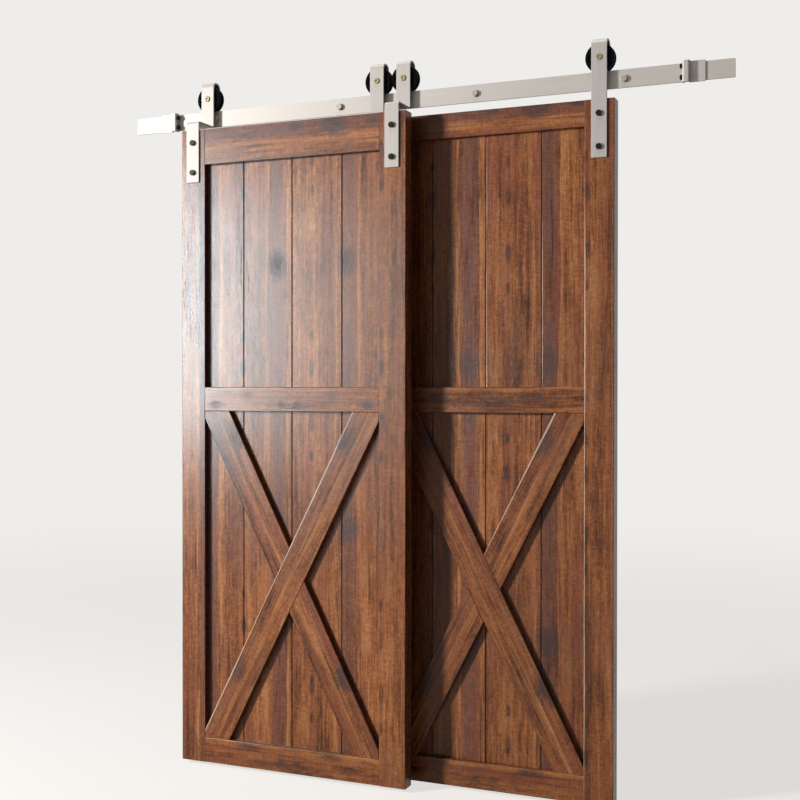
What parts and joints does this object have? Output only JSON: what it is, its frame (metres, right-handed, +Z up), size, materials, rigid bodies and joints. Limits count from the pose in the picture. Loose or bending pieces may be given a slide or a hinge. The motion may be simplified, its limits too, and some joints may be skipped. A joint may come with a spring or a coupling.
{
  "type": "bypass barn doors",
  "caption": "Bypass sliding barn doors of braced wooden planks, hung by grooved wheels from one flat wall rail with stops.",
  "frame": {"origin": "on the wall plane, in the middle of the row of wall screws, at the height of the rail's middle", "axes": "+X along the rail to the right as seen from the room, +Y from the doors into the wall, +Z up"},
  "size_m": [2.071, 0.2254, 2.3183],
  "materials": {
    "brushed_plate": "brushed, warm light grey",
    "bearing_steel": "ground steel",
    "axle_brass": "yellow zinc or bronze plated",
    "black_bolts": "black oxide",
    "black_wheel": "black, satin",
    "bumper_rubber": "black rubber",
    "stained_wood": "red-brown stain, streaky, satin"
  },
  "bodies": {
    "rail": {"rail_bar": "brushed_plate", "rail_spacers": "brushed_plate", "wall_screws": "brushed_plate", "stop_left": "brushed_plate", "stop_right": "brushed_plate", "stop_left_bumpers": "bumper_rubber", "stop_right_bumpers": "bumper_rubber", "stop_screws": "brushed_plate"},
    "front_door": {"front_door_stile_left": "stained_wood", "front_door_stile_right": "stained_wood", "front_door_top_rail": "stained_wood", "front_door_bottom_rail": "stained_wood", "front_door_mid_rail": "stained_wood", "front_door_plank_1": "stained_wood", "front_door_plank_2": "stained_wood", "front_door_plank_3": "stained_wood", "front_door_plank_4": "stained_wood", "front_door_brace_whole": "stained_wood", "front_door_brace_lower": "stained_wood", "front_door_brace_upper": "stained_wood", "front_left_strap": "brushed_plate", "front_left_axle_bolt": "axle_brass", "front_left_axle_nut": "axle_brass", "front_right_strap": "brushed_plate", "front_right_axle_bolt": "axle_brass", "front_right_axle_nut": "axle_brass", "front_inner_races": "bearing_steel", "front_axle_spacers": "bearing_steel", "front_door_bolts": "black_bolts", "front_door_nuts": "black_bolts"},
    "front_left_roller": {"front_left_wheel": "black_wheel", "front_left_bearing": "bearing_steel"},
    "front_right_roller": {"front_right_wheel": "black_wheel", "front_right_bearing": "bearing_steel"},
    "rear_door": {"rear_door_stile_left": "stained_wood", "rear_door_stile_right": "stained_wood", "rear_door_top_rail": "stained_wood", "rear_door_bottom_rail": "stained_wood", "rear_door_mid_rail": "stained_wood", "rear_door_plank_1": "stained_wood", "rear_door_plank_2": "stained_wood", "rear_door_plank_3": "stained_wood", "rear_door_plank_4": "stained_wood", "rear_door_brace_whole": "stained_wood", "rear_door_brace_lower": "stained_wood", "rear_door_brace_upper": "stained_wood", "rear_left_strap": "brushed_plate", "rear_left_axle_bolt": "axle_brass", "rear_left_axle_nut": "axle_brass", "rear_right_strap": "brushed_plate", "rear_right_axle_bolt": "axle_brass", "rear_right_axle_nut": "axle_brass", "rear_inner_races": "bearing_steel", "rear_axle_spacers": "bearing_steel", "rear_door_bolts": "black_bolts", "rear_door_nuts": "black_bolts"},
    "rear_left_roller": {"rear_left_wheel": "black_wheel", "rear_left_bearing": "bearing_steel"},
    "rear_right_roller": {"rear_right_wheel": "black_wheel", "rear_right_bearing": "bearing_steel"}
  },
  "joints": [
    {"name": "front_door_slide", "type": "slide", "parent": "rail", "child": "front_door", "axis": [1, 0, 0], "range_m": [0, 0.27]},
    {"name": "rear_door_slide", "type": "slide", "parent": "rail", "child": "rear_door", "axis": [1, 0, 0], "range_m": [-0.27, 0]},
    {"name": "front_left_wheel_spin", "type": "hinge", "parent": "front_door", "child": "front_left_roller", "pos_m": [-0.7345, -0.0495, 0.0678], "axis": [0, 1, 0], "continuous": true},
    {"name": "front_right_wheel_spin", "type": "hinge", "parent": "front_door", "child": "front_right_roller", "pos_m": [-0.0015, -0.0495, 0.0678], "axis": [0, 1, 0], "continuous": true},
    {"name": "rear_left_wheel_spin", "type": "hinge", "parent": "rear_door", "child": "rear_left_roller", "pos_m": [-0.0945, -0.0495, 0.0678], "axis": [0, 1, 0], "continuous": true},
    {"name": "rear_right_wheel_spin", "type": "hinge", "parent": "rear_door", "child": "rear_right_roller", "pos_m": [0.6385, -0.0495, 0.0678], "axis": [0, 1, 0], "continuous": true}
  ],
  "couplings": [
    {"joint": "front_left_wheel_spin", "follows": "front_door_slide", "rad_per_m": 25},
    {"joint": "front_right_wheel_spin", "follows": "front_door_slide", "rad_per_m": 25},
    {"joint": "rear_left_wheel_spin", "follows": "rear_door_slide", "rad_per_m": 25},
    {"joint": "rear_right_wheel_spin", "follows": "rear_door_slide", "rad_per_m": 25}
  ]
}
